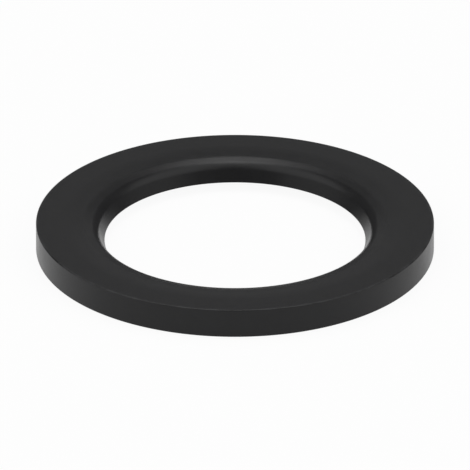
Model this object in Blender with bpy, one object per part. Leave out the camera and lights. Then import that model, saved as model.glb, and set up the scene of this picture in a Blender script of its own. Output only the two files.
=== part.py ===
"""Flush valve seal: one moulded black rubber ring, lying flat on its underside.

Units are metres and +Z is up. The ring is turned about Z, and the origin is at the centre of
its underside. Its section has a flat band at the outside. Inwards from that the top face
tapers slightly, then slopes down in a bevel, and rolls over into the lip's straight end face.
The end face slopes in on its way down, so the hole is narrowest at the lip's lower edge. The
underside rises towards that edge from the flat that the ring lies on.
"""

import math

import bmesh
import bpy
from mathutils import Matrix, Vector

# Driving dimensions
HOLE_DIAMETER = 0.0412  # at the lip's lower edge, before that edge is rounded
RING_WIDTH = 0.0109  # from the hole to the outer wall, measured along a radius
THICKNESS = 0.0047  # of the flat outer band
TAPER_WIDTH = 0.0027  # of the slight taper between the flat band and the bevel
TAPER_ANGLE = math.radians(3.4)  # from level
LIP_WIDTH = 0.0034  # from the hole to where the bevel starts
BEVEL_ANGLE = math.radians(13)  # from level
LIP_FACE_ANGLE = math.radians(63)  # of the lip's end face, from level
LIP_HEIGHT = 0.0015  # of the lip's lower edge above the surface the ring lies on

# Roundings of the section's corners
RIM_ROUNDING = 0.00018  # of the two edges of the outer wall
TAPER_START_ROUNDING = 0.03
BEVEL_START_ROUNDING = 0.0041
LIP_TOP_ROUNDING = 0.0019  # of the roll from the bevel into the lip's end face
LIP_EDGE_ROUNDING = 0.00012  # of the lip's lower edge
UNDERSIDE_ROUNDING = 0.012  # where the underside starts to rise

# How finely the round shapes are divided
TURN_STEPS = 96
ROLL_STEPS = 9
EASE_STEPS = 4
EDGE_STEPS = 3

# Appearance of black nitrile rubber
RUBBER_COLOUR = (0.012, 0.012, 0.012, 1.0)
RUBBER_ROUGHNESS = 0.32
SHARP_ANGLE = math.radians(40)

# Sizes that follow from the driving dimensions
hole_radius = HOLE_DIAMETER / 2
outer_radius = hole_radius + RING_WIDTH
bevel_start_radius = hole_radius + LIP_WIDTH
taper_start_radius = bevel_start_radius + TAPER_WIDTH
bevel_start_height = THICKNESS - TAPER_WIDTH * math.tan(TAPER_ANGLE)


def clear_scene():
    """Remove every object that the scene starts with."""
    for thing in list(bpy.data.objects):
        bpy.data.objects.remove(thing, do_unlink=True)


def lip_top():
    """Where the bevel and the lip's end face would meet without their rounding, as (r, z)."""
    height_left = bevel_start_height - LIP_WIDTH * math.tan(BEVEL_ANGLE) - LIP_HEIGHT
    run = height_left / (math.tan(LIP_FACE_ANGLE) - math.tan(BEVEL_ANGLE))
    return Vector((hole_radius + run, LIP_HEIGHT + run * math.tan(LIP_FACE_ANGLE)))


def rounded_corner(before, corner, after, radius, steps):
    """The corner between two straight runs, as the points of a tangent arc."""
    to_before = (before - corner).normalized()
    to_after = (after - corner).normalized()
    half_angle = to_before.angle(to_after) / 2
    reach = radius / math.tan(half_angle)
    centre = corner + (to_before + to_after).normalized() * radius / math.sin(half_angle)
    first = corner + to_before * reach - centre
    last = corner + to_after * reach - centre
    turn = first.angle_signed(last)
    points = []
    for step in range(steps + 1):
        spoke = first.copy()
        spoke.rotate(Matrix.Rotation(-turn * step / steps, 2))
        points.append(centre + spoke)
    return points


def ring_section():
    """The ring's section as (r, z) points: in over the top, round the lip and out below."""
    corners = [
        (Vector((outer_radius, THICKNESS)), RIM_ROUNDING, EDGE_STEPS),
        (Vector((taper_start_radius, THICKNESS)), TAPER_START_ROUNDING, EASE_STEPS),
        (Vector((bevel_start_radius, bevel_start_height)), BEVEL_START_ROUNDING, EASE_STEPS),
        (lip_top(), LIP_TOP_ROUNDING, ROLL_STEPS),
        (Vector((hole_radius, LIP_HEIGHT)), LIP_EDGE_ROUNDING, EDGE_STEPS),
        (Vector((bevel_start_radius, 0)), UNDERSIDE_ROUNDING, ROLL_STEPS),
        (Vector((outer_radius, 0)), RIM_ROUNDING, EDGE_STEPS),
    ]
    points = []
    for index, (corner, rounding, steps) in enumerate(corners):
        before = corners[index - 1][0]
        after = corners[(index + 1) % len(corners)][0]
        points += rounded_corner(before, corner, after, rounding, steps)
    return points


def rubber():
    """Black nitrile rubber, moulded, with a satin surface."""
    material = bpy.data.materials.new("black_rubber")
    material.use_nodes = True
    shader = material.node_tree.nodes["Principled BSDF"]
    shader.inputs["Base Color"].default_value = RUBBER_COLOUR
    shader.inputs["Roughness"].default_value = RUBBER_ROUGHNESS
    shader.inputs["Metallic"].default_value = 0.0
    return material


def make_seal_ring():
    """Turn the section once about Z."""
    shape = bmesh.new()
    corners = [shape.verts.new((point.x, 0, point.y)) for point in ring_section()]
    edges = []
    for index, corner in enumerate(corners):
        edges.append(shape.edges.new((corner, corners[index - 1])))
    bmesh.ops.spin(
        shape,
        geom=corners + edges,
        cent=(0, 0, 0),
        axis=(0, 0, 1),
        angle=math.tau,
        steps=TURN_STEPS,
        use_merge=True,
    )
    bmesh.ops.recalc_face_normals(shape, faces=shape.faces)
    mesh = bpy.data.meshes.new("seal_ring")
    shape.to_mesh(mesh)
    shape.free()
    mesh.materials.append(rubber())
    mesh.shade_smooth()
    mesh.set_sharp_from_angle(angle=SHARP_ANGLE)
    ring = bpy.data.objects.new("seal_ring", mesh)
    bpy.context.scene.collection.objects.link(ring)
    return ring


clear_scene()
make_seal_ring()
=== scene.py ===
# %% [markdown]
# Flush valve seal
#
# A flush valve seal is the rubber ring that stops water leaking past the valve of a toilet
# cistern. It is one moulded piece: a flat band outside, a slight taper, a bevel, and a rolled
# lip round a wide hole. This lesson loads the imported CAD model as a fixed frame, sets up the
# camera and a plain studio, models the ring again with finer roundings, gives it a moulded
# rubber finish, and hands it over. All lengths are metres, and +Z is up.

# %% Load the frame
import math

import bpy
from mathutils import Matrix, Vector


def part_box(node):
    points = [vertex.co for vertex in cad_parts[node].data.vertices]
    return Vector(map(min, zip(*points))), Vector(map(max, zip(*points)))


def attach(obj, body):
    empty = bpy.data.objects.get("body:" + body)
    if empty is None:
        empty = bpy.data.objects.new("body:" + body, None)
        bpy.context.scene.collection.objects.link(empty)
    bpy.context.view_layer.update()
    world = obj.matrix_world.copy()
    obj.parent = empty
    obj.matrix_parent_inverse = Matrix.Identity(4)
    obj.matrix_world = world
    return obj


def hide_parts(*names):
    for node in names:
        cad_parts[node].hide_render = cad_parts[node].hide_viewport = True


MM = 0.001

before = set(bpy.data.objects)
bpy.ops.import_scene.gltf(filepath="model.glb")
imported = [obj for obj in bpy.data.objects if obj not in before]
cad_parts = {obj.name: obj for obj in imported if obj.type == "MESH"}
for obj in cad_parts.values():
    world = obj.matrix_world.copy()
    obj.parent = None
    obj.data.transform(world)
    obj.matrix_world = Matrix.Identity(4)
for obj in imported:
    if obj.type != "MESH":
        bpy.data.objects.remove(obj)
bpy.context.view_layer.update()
bpy.ops.object.select_all(action="DESELECT")
print("nodes in the frame:", sorted(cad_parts))

# %% [markdown]
# The camera comes first, because every choice after it is judged through it. The outline of
# the ring in the picture is an ellipse, and its height over its width is the sine of how far
# the camera looks down: 26.3 degrees. The near and far parts of the ring are drawn at almost
# the same scale, so the lens is very long and stands far back. How far back follows from the
# ring's radius: it has to come out 199 pixels long in a picture 470 pixels wide.

# %% Camera
PICTURE_WIDTH = 470  # in pixels
RADIUS_IN_PICTURE = 199.0  # in pixels
SENSOR_WIDTH = 36.0  # in millimetres, as Blender's camera takes it
LENS = 1500.0  # in millimetres too
LOOK_DOWN = math.radians(26.28)

outer_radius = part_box("seal_ring")[1][0]
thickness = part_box("seal_ring")[1][2]
focal_pixels = LENS / SENSOR_WIDTH * PICTURE_WIDTH
camera_distance = focal_pixels * outer_radius / RADIUS_IN_PICTURE
camera_height = thickness / 2 + camera_distance * math.sin(LOOK_DOWN)
camera_back = camera_distance * math.cos(LOOK_DOWN)

bpy.ops.object.camera_add(
    location=(0, -camera_back, camera_height),
    rotation=(math.radians(90) - LOOK_DOWN, 0, 0),
)
camera = bpy.context.object
camera.name = "camera"
camera.data.lens = LENS
camera.data.sensor_width = SENSOR_WIDTH
bpy.context.scene.camera = camera
print("camera stands back", round(camera_distance, 3), "m")

# %% [markdown]
# Every material below is built from nodes. One small function adds a node with its settings
# and its links, and another turns a colour that is written as in a web page, in sRGB, into
# the linear numbers that the shader works with.

# %% Helpers for nodes and colours
PURE_WHITE = "#FFFFFF"


def linear(hex_colour):
    """A colour written as sRGB hex, as linear red, green, blue and alpha."""
    channels = []
    for start in (1, 3, 5):
        value = int(hex_colour[start:start + 2], 16) / 255
        if value <= 0.04045:
            channels.append(value / 12.92)
        else:
            channels.append(((value + 0.055) / 1.055) ** 2.4)
    return (*channels, 1.0)


def add_node(tree, kind, settings=None, values=None, links=None):
    """Add a node, with its settings, its socket values and what its sockets are fed by."""
    node = tree.nodes.new(kind)
    for name, setting in (settings or {}).items():
        setattr(node, name, setting)
    for socket, value in (values or {}).items():
        node.inputs[socket].default_value = value
    for socket, source in (links or {}).items():
        tree.links.new(source, node.inputs[socket])
    return node


def new_material(name):
    """An empty node material and its output node."""
    material = bpy.data.materials.new(name)
    material.use_nodes = True
    material.node_tree.nodes.clear()
    output = add_node(material.node_tree, "ShaderNodeOutputMaterial")
    return material, output


print("white is", linear(PURE_WHITE))

# %% [markdown]
# The ring lies on a plain white ground that fills the picture. A matt white floor alone would
# come out grey, and more light would wash out the ring. So the floor mixes its matt white
# with a glow of strength 1, which is white, for the rays that show it: straight from the
# camera, in a reflection, or through something clear. The rest of the mix is the matt floor,
# so the ring still throws its soft shadow.

# %% White paper
PAPER_WHITE = "#F4F4F4"
GLOW_SHARE = 0.93

paper, output = new_material("matt_white_paper")
tree = paper.node_tree
path = add_node(tree, "ShaderNodeLightPath")
camera_or_glossy = add_node(
    tree, "ShaderNodeMath", {"operation": "MAXIMUM"},
    links={0: path.outputs["Is Camera Ray"], 1: path.outputs["Is Glossy Ray"]},
)
shows_floor = add_node(
    tree, "ShaderNodeMath", {"operation": "MAXIMUM"},
    links={0: camera_or_glossy.outputs[0], 1: path.outputs["Is Transmission Ray"]},
)
share = add_node(
    tree, "ShaderNodeMath", {"operation": "MULTIPLY"}, {1: GLOW_SHARE},
    {0: shows_floor.outputs[0]},
)
matt = add_node(tree, "ShaderNodeBsdfDiffuse", values={"Color": linear(PAPER_WHITE)})
glow = add_node(
    tree, "ShaderNodeEmission", values={"Color": linear(PURE_WHITE), "Strength": 1.0},
)
mix = add_node(
    tree, "ShaderNodeMixShader",
    links={0: share.outputs[0], 1: matt.outputs[0], 2: glow.outputs[0]},
)
tree.links.new(mix.outputs[0], output.inputs["Surface"])
print("share of the glow:", GLOW_SHARE)

# %% Floor
FLOOR_SIZE = 6.0
FLOOR_GAP = 0.02 * MM  # keeps the floor just clear of the ring's flat underside

bpy.ops.mesh.primitive_plane_add(size=FLOOR_SIZE, location=(0, 0, -FLOOR_GAP))
floor = bpy.context.object
floor.name = "floor"
bpy.ops.object.transform_apply(location=True, rotation=True, scale=True)
floor.data.materials.append(paper)
print("floor is", FLOOR_SIZE, "m wide")

# %% [markdown]
# The light is a plain studio in a dim grey room. Black rubber shows hardly any colour of its
# own, so what the eye reads is the studio mirrored in the ring's slopes. The flat band mirrors
# the room low behind the ring, where only a narrow dim panel stands, and stays dark. At the
# far side the bevel and the roll after it turn up towards a bright strip that hangs high
# behind, and catch it as a pale band. Two wide softboxes at the sides do the same for the
# slopes at the left and right, and a panel overhead keeps the light even. The steep end face
# of the lip looks back at the camera where it is farthest away, and stays darkest there.
# Farther round it turns to the sides, where two low panels lift it to grey. A faint low
# panel in front is for the outer wall at the near side.

# %% Dim grey room
ROOM_GREY = 0.12

bpy.context.scene.view_settings.view_transform = "Standard"

world = bpy.data.worlds.new("dim_room")
world.use_nodes = True
room = world.node_tree.nodes["Background"]
room.inputs["Color"].default_value = linear(PURE_WHITE)
room.inputs["Strength"].default_value = ROOM_GREY
bpy.context.scene.world = world
print("room brightness:", ROOM_GREY)

# %% Softboxes
SOFTBOX_DISTANCE = 1.2


def add_softbox(name, turned, raised, width, depth, brightness):
    """Add a softbox that faces the ring, from a turn away from +Y and a height in degrees."""
    turn = math.radians(turned)
    rise = math.radians(raised)
    bpy.ops.object.light_add(
        type="AREA",
        location=(
            SOFTBOX_DISTANCE * math.cos(rise) * math.sin(turn),
            SOFTBOX_DISTANCE * math.cos(rise) * math.cos(turn),
            SOFTBOX_DISTANCE * math.sin(rise),
        ),
        rotation=(rise - math.radians(90), 0, -turn),
    )
    light = bpy.context.object
    light.name = name
    light.data.shape = "RECTANGLE"
    light.data.size = width
    light.data.size_y = depth
    light.data.energy = brightness * math.pi * width * depth
    print(name, "at", [round(part, 3) for part in light.location])


add_softbox("bright_strip_behind", turned=0, raised=66, width=0.24, depth=0.7, brightness=5.0)
add_softbox("panel_overhead", turned=0, raised=90, width=0.9, depth=0.8, brightness=1.0)
add_softbox("softbox_left", turned=-106, raised=48, width=1.3, depth=1.0, brightness=1.3)
add_softbox("softbox_right", turned=106, raised=48, width=1.3, depth=1.0, brightness=1.3)
add_softbox("low_panel_left", turned=-100, raised=16, width=1.0, depth=0.35, brightness=0.6)
add_softbox("low_panel_right", turned=100, raised=16, width=1.0, depth=0.35, brightness=0.6)
add_softbox("low_panel_behind", turned=0, raised=21, width=0.8, depth=0.16, brightness=0.55)
add_softbox("low_panel_in_front", turned=180, raised=18, width=1.6, depth=0.3, brightness=0.2)

# %% [markdown]
# The ring is turned about one axis, so all of its shape is in its section. It could be cut
# from a cylinder, but a section drawn once and spun keeps every step round the ring the same.
# The section starts as a flat rectangle, from the hole to the outer wall and from the ground
# to the top. Four straight cuts then give it its slopes: the lip's steep end face, the rise
# underneath, the bevel above, and the slight taper between the bevel and the flat band.

# %% Section sizes
HOLE_RADIUS = 20.6 * MM
TAPER_WIDTH = 2.7 * MM
TAPER_ANGLE = math.radians(3.4)
LIP_WIDTH = 3.4 * MM
LIP_HEIGHT = 1.5 * MM
BEVEL_ANGLE = math.radians(13)
LIP_FACE_ANGLE = math.radians(63)

bevel_start = HOLE_RADIUS + LIP_WIDTH
taper_start = bevel_start + TAPER_WIDTH
bevel_height = thickness - TAPER_WIDTH * math.tan(TAPER_ANGLE)
under_slope = math.atan(LIP_HEIGHT / LIP_WIDTH)
print("flat band is", round((outer_radius - taper_start) / MM, 2), "mm wide")
print("underside slopes", round(math.degrees(under_slope), 2), "degrees")

# %% Cut the section out of a rectangle
MERGE_DISTANCE = 0.001 * MM


def cut(radius, height, slope, clear_above):
    """Cut the section along a line through a place, and clear one side of it.

    The slope is positive where the line rises away from the hole.
    """
    bpy.ops.mesh.select_all(action="SELECT")
    bpy.ops.mesh.bisect(
        plane_co=(radius, 0, height),
        plane_no=(-math.sin(slope), 0, math.cos(slope)),
        clear_outer=clear_above,
        clear_inner=not clear_above,
    )


bpy.ops.object.select_all(action="DESELECT")
bpy.ops.mesh.primitive_plane_add(
    size=1,
    location=((HOLE_RADIUS + outer_radius) / 2, 0, thickness / 2),
    rotation=(math.radians(90), 0, 0),
)
ring = bpy.context.object
ring.name = "rubber_ring"
ring.dimensions = (outer_radius - HOLE_RADIUS, thickness, 0)
bpy.ops.object.transform_apply(location=True, rotation=True, scale=True)
bpy.ops.object.mode_set(mode="EDIT")
cut(HOLE_RADIUS, LIP_HEIGHT, LIP_FACE_ANGLE, clear_above=True)
cut(HOLE_RADIUS, LIP_HEIGHT, -under_slope, clear_above=False)
cut(bevel_start, bevel_height, BEVEL_ANGLE, clear_above=True)
cut(taper_start, thickness, TAPER_ANGLE, clear_above=True)
bpy.ops.mesh.select_all(action="SELECT")
bpy.ops.mesh.remove_doubles(threshold=MERGE_DISTANCE)
bpy.ops.object.mode_set(mode="OBJECT")
for vertex in ring.data.vertices:
    print("corner", [round(part / MM, 3) for part in vertex.co])

# %% [markdown]
# A moulded edge is never sharp, because the mould's own edges are rounded by its cutter. Each
# corner of the section gets its own rounding: hardly any at the outer rim and at the lip's
# lower edge, a wide roll where the bevel turns down into the lip's end face, and very wide
# ones where the slopes only change a little. Blender's bevel is told how far from the corner
# the rounding starts, so that reach is worked out from its radius and the corner's angle.

# %% A rounding for one corner
def round_corner(radius, height, rounding, steps):
    """Round the section's corner that is nearest to a place, to a radius."""
    bpy.ops.object.mode_set(mode="OBJECT")
    mesh = ring.data
    for part in (*mesh.polygons, *mesh.edges, *mesh.vertices):
        part.select = False
    corner = min(
        mesh.vertices,
        key=lambda vertex: math.hypot(vertex.co.x - radius, vertex.co.z - height),
    )
    corner.select = True
    arms = []
    for edge in mesh.edges:
        if corner.index in edge.vertices:
            other = next(index for index in edge.vertices if index != corner.index)
            arms.append((mesh.vertices[other].co - corner.co).normalized())
    reach = rounding / math.tan(arms[0].angle(arms[1]) / 2)
    bpy.ops.object.mode_set(mode="EDIT")
    bpy.ops.mesh.select_mode(type="VERT")
    bpy.ops.mesh.bevel(offset=reach, segments=steps, affect="VERTICES", clamp_overlap=False)
    print("rounded", round(radius / MM, 2), round(height / MM, 2), "reach", round(reach / MM, 3))


# %% Round the section's corners
LIP_ROLL = 1.9 * MM
BEVEL_START_ROLL = 4.1 * MM
TAPER_START_ROLL = 30 * MM
UNDERSIDE_ROLL = 12 * MM
RIM_ROLL = 0.18 * MM
LIP_EDGE_ROLL = 0.12 * MM

# The bevel and the lip's end face meet at the lip's top, which is worked out from both slopes.
slope_difference = math.tan(LIP_FACE_ANGLE) - math.tan(BEVEL_ANGLE)
height_left = bevel_height - LIP_HEIGHT - LIP_WIDTH * math.tan(BEVEL_ANGLE)
lip_top_radius = HOLE_RADIUS + height_left / slope_difference
lip_top_height = LIP_HEIGHT + (lip_top_radius - HOLE_RADIUS) * math.tan(LIP_FACE_ANGLE)

round_corner(lip_top_radius, lip_top_height, LIP_ROLL, steps=14)
round_corner(bevel_start, bevel_height, BEVEL_START_ROLL, steps=8)
round_corner(taper_start, thickness, TAPER_START_ROLL, steps=6)
round_corner(bevel_start, 0, UNDERSIDE_ROLL, steps=10)
round_corner(outer_radius, thickness, RIM_ROLL, steps=5)
round_corner(outer_radius, 0, RIM_ROLL, steps=5)
round_corner(HOLE_RADIUS, LIP_HEIGHT, LIP_EDGE_ROLL, steps=5)

# %% [markdown]
# The rounded section is spun once round the hole's axis. Only its outline is spun, because
# its face would stay behind as a wall inside the ring. The first and last copies lie on each
# other, so they are merged, and the normals are then turned outwards.
#
# Smooth shading gives each point the average of the faces round it. Beside a wide flat face
# the narrow faces of a rounding would pull that average over, and the flat would look curved.
# Normals weighted by the size of the faces keep it flat.

# %% Spin the section
SPIN_STEPS = 240

bpy.ops.mesh.select_all(action="SELECT")
bpy.ops.mesh.delete(type="ONLY_FACE")
bpy.ops.mesh.select_all(action="SELECT")
bpy.ops.mesh.spin(steps=SPIN_STEPS, angle=math.tau, center=(0, 0, 0), axis=(0, 0, 1))
bpy.ops.mesh.select_all(action="SELECT")
bpy.ops.mesh.remove_doubles(threshold=MERGE_DISTANCE)
bpy.ops.mesh.normals_make_consistent(inside=False)
bpy.ops.object.mode_set(mode="OBJECT")
print("ring has", len(ring.data.polygons), "faces")

# %% Shade the ring smooth
SMOOTH_ANGLE = math.radians(35)

bpy.ops.object.shade_smooth_by_angle(angle=SMOOTH_ANGLE)
bpy.ops.object.modifier_add(type="WEIGHTED_NORMAL")
weighting = ring.modifiers[-1]
weighting.keep_sharp = True
bpy.ops.object.modifier_apply(modifier=weighting.name)
print("ring measures", [round(side / MM, 2) for side in ring.dimensions], "mm")

# %% [markdown]
# Seals like this are usually nitrile rubber, coloured black with carbon and pressed in a steel
# mould. Carbon leaves almost no colour, so nearly all the light the rubber gives back is
# gloss. A mould is ground and then lightly blasted, and the rubber copies that as a fine, even
# grain, which spreads a reflection a little. Seen close, the black also has faint paler and
# darker clouds, where filler and mould release lie unevenly.
#
# Two layers of noise draw this, one for the grain and one for the clouds. The real grain is
# about a twentieth of a millimetre, too fine for a pixel of this picture, so it is drawn about
# three times as coarse. Noise of scale 1 has grains about a metre wide, so one over a size
# gives grains of that size.

# %% Grain and clouds of moulded rubber
GRAIN_SIZE = 0.16 * MM
CLOUD_SIZE = 2.5 * MM
DEEP_BLACK = "#151516"
PALE_BLACK = "#242425"

rubber, output = new_material("moulded_nitrile_rubber")
tree = rubber.node_tree
place = add_node(tree, "ShaderNodeTexCoord").outputs["Object"]
grain = add_node(
    tree, "ShaderNodeTexNoise",
    values={"Scale": 1 / GRAIN_SIZE, "Detail": 2.0, "Roughness": 0.6},
    links={"Vector": place},
)
clouds = add_node(
    tree, "ShaderNodeTexNoise",
    values={"Scale": 1 / CLOUD_SIZE, "Detail": 3.0, "Roughness": 0.55},
    links={"Vector": place},
)
speckle = add_node(
    tree, "ShaderNodeMix", {"data_type": "FLOAT"}, {"Factor": 0.5},
    {"A": grain.outputs["Fac"], "B": clouds.outputs["Fac"]},
)
black = add_node(
    tree, "ShaderNodeMix", {"data_type": "RGBA"},
    {"A": linear(DEEP_BLACK), "B": linear(PALE_BLACK)},
    {"Factor": speckle.outputs["Result"]},
)
print("grain", round(GRAIN_SIZE / MM, 2), "mm, clouds", round(CLOUD_SIZE / MM, 2), "mm")

# %% [markdown]
# Along the upper outer rim runs a thin paler line, broken here and there. It is a painted
# highlight: the glint of the rim's small rounding, put into the colour. The distance from the
# axis and the height pick out that rim, and the clouds break the line up.

# %% Painted highlight on the rim
RIM_HIGHLIGHT_WIDTH = 0.45 * MM
RIM_HIGHLIGHT_GREY = "#383839"
HIGHLIGHT_NONE_BELOW = 0.35  # clouds darker than this get none of the painted highlight
HIGHLIGHT_FULL_ABOVE = 0.65  # clouds paler than this get the painted highlight in full

flattened = add_node(
    tree, "ShaderNodeVectorMath", {"operation": "MULTIPLY"}, {1: (1, 1, 0)}, {0: place},
)
from_axis = add_node(
    tree, "ShaderNodeVectorMath", {"operation": "LENGTH"}, links={0: flattened.outputs[0]},
)
height = add_node(tree, "ShaderNodeSeparateXYZ", links={"Vector": place})
near_wall = add_node(
    tree, "ShaderNodeMapRange",
    values={"From Min": outer_radius - RIM_HIGHLIGHT_WIDTH, "From Max": outer_radius - RIM_ROLL / 2},
    links={"Value": from_axis.outputs["Value"]},
)
near_top = add_node(
    tree, "ShaderNodeMapRange",
    values={"From Min": thickness - RIM_ROLL, "From Max": thickness - RIM_ROLL / 3},
    links={"Value": height.outputs["Z"]},
)
on_rim = add_node(
    tree, "ShaderNodeMath", {"operation": "MULTIPLY"},
    links={0: near_wall.outputs["Result"], 1: near_top.outputs["Result"]},
)
patches = add_node(
    tree, "ShaderNodeMapRange", values={"From Min": HIGHLIGHT_NONE_BELOW, "From Max": HIGHLIGHT_FULL_ABOVE},
    links={"Value": clouds.outputs["Fac"]},
)
painted_rim_highlight = add_node(
    tree, "ShaderNodeMath", {"operation": "MULTIPLY"},
    links={0: on_rim.outputs[0], 1: patches.outputs["Result"]},
)
# The pale grey mixed into the base colour here is a painted highlight along the rim.
black_with_rim_highlight = add_node(
    tree, "ShaderNodeMix", {"data_type": "RGBA"}, {"B": linear(RIM_HIGHLIGHT_GREY)},
    {"Factor": painted_rim_highlight.outputs[0], "A": black.outputs["Result"]},
)
print("painted rim highlight is", round(RIM_HIGHLIGHT_WIDTH / MM, 2), "mm wide")

# %% [markdown]
# Moulded rubber has a satin gloss, so the roughness is about a third, a little lower where the
# clouds are dark. Most of the noise lies between 0.3 and 0.7, and these two are given to the
# smoothest and the roughest places. The IOR is the usual 1.5. The ring in the photograph
# mirrors less than that IOR gives, so half of the mirroring is left here, which is a specular
# level of 0.25. The bump follows the grain alone.

# %% Gloss of moulded rubber
GRAIN_DEPTH = 0.01 * MM
NOISE_LOW = 0.3
NOISE_HIGH = 0.7
SMOOTHEST = 0.28
ROUGHEST = 0.36

gloss = add_node(
    tree, "ShaderNodeMapRange",
    values={
        "From Min": NOISE_LOW, "From Max": NOISE_HIGH,
        "To Min": SMOOTHEST, "To Max": ROUGHEST,
    },
    links={"Value": speckle.outputs["Result"]},
)
bump = add_node(
    tree, "ShaderNodeBump", values={"Strength": 1.0, "Distance": GRAIN_DEPTH},
    links={"Height": grain.outputs["Fac"]},
)
shader = add_node(
    tree, "ShaderNodeBsdfPrincipled",
    values={"IOR": 1.5, "Specular IOR Level": 0.25},
    links={
        "Base Color": black_with_rim_highlight.outputs["Result"],
        "Roughness": gloss.outputs["Result"],
        "Normal": bump.outputs["Normal"],
    },
)
tree.links.new(shader.outputs[0], output.inputs["Surface"])
ring.data.materials.append(rubber)
print("roughness from", SMOOTHEST, "to", ROUGHEST)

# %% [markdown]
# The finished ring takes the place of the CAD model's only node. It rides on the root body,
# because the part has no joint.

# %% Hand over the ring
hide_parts("seal_ring")
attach(ring, "root")
print("handed over", ring.name)
